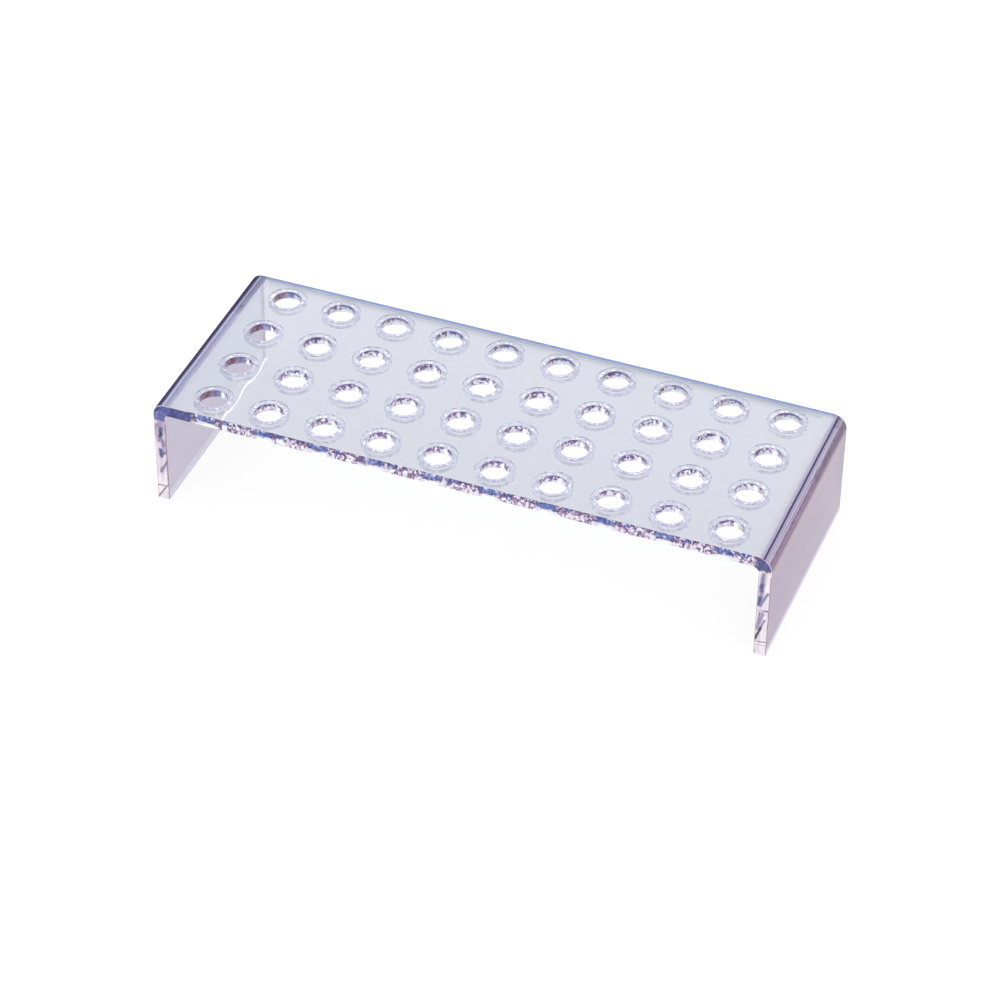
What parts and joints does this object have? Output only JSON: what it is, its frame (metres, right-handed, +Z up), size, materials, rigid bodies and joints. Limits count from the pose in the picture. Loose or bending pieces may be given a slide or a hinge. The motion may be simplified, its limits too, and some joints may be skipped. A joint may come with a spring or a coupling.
{
  "type": "microcentrifuge tube rack",
  "caption": "Clear acrylic sheet bent down at both ends into legs, with a grid of round bevelled holes that hold small tubes upright.",
  "frame": {"origin": "on the surface that the feet stand on, below the middle of the rack", "axes": "+X along the rack, +Y across it towards the back, +Z up"},
  "size_m": [0.253, 0.094, 0.047],
  "materials": {
    "clear_acrylic": "clear polished acrylic with a faint lavender tint, saw-cut edges and drilled holes"
  },
  "bodies": {
    "root": {"folded_sheet": "clear_acrylic"}
  },
  "joints": []
}
